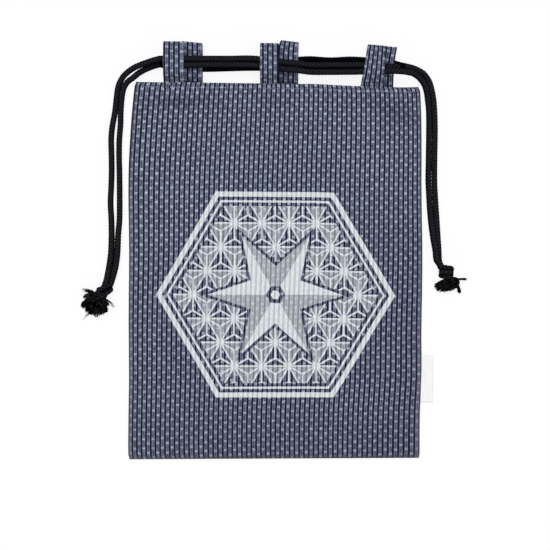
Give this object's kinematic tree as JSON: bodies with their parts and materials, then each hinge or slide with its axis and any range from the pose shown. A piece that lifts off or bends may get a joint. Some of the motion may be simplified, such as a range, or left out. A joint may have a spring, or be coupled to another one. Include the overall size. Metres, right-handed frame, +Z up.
{
  "type": "drawstring bag",
  "caption": "Flat cloth drawstring bag with a woven stripe, cloth loops round its mouth, two black drawcords with knotted frayed ends and a blank side tab.",
  "frame": {"origin": "middle of the back panel's underside, on the surface that the bag lies on", "axes": "+X across the bag to the viewer's right, +Y towards the mouth and its loops, +Z up through the front panel"},
  "size_m": [0.3217, 0.347, 0.0154],
  "materials": {
    "striped_cloth": "matt woven cotton, navy ground with grey-blue stripes and pale dots",
    "black_cord": "round braided cord, satin black",
    "frayed_cord": "loose fibres of the black cord",
    "white_ribbon": "smooth white woven ribbon, blank",
    "print_ink": "thin off-white ink printed on the front panel"
  },
  "bodies": {
    "bag": {"back_panel": "striped_cloth", "front_panel": "striped_cloth", "left_seam": "striped_cloth", "right_seam": "striped_cloth", "bottom_seam": "striped_cloth", "back_hem": "striped_cloth", "front_hem": "striped_cloth", "label_tab": "white_ribbon", "front_loop_middle": "striped_cloth", "back_loop_middle": "striped_cloth"},
    "left_cord": {"left_cord_run": "black_cord", "front_loop_right": "striped_cloth", "back_loop_right": "striped_cloth"},
    "right_cord": {"right_cord_run": "black_cord", "front_loop_left": "striped_cloth", "back_loop_left": "striped_cloth"},
    "left_tail": {"left_tail_front": "black_cord", "left_tail_back": "black_cord", "left_knot": "black_cord", "left_frayed_end_front": "frayed_cord", "left_frayed_end_back": "frayed_cord"},
    "right_tail": {"right_tail_front": "black_cord", "right_tail_back": "black_cord", "right_knot": "black_cord", "right_frayed_end_front": "frayed_cord", "right_frayed_end_back": "frayed_cord"}
  },
  "joints": [
    {"name": "left_draw", "type": "slide", "parent": "bag", "child": "left_cord", "axis": [-1, 0, 0], "range_m": [0, 0.04]},
    {"name": "right_draw", "type": "slide", "parent": "bag", "child": "right_cord", "axis": [1, 0, 0], "range_m": [0, 0.04]},
    {"name": "left_tail_swing", "type": "hinge", "parent": "left_cord", "child": "left_tail", "pos_m": [-0.09685, 0.1804, 0], "axis": [0, 0, -1], "range_deg": [0, 40]},
    {"name": "right_tail_swing", "type": "hinge", "parent": "right_cord", "child": "right_tail", "pos_m": [0.10915, 0.1733, 0], "axis": [0, 0, 1], "range_deg": [0, 40]}
  ]
}
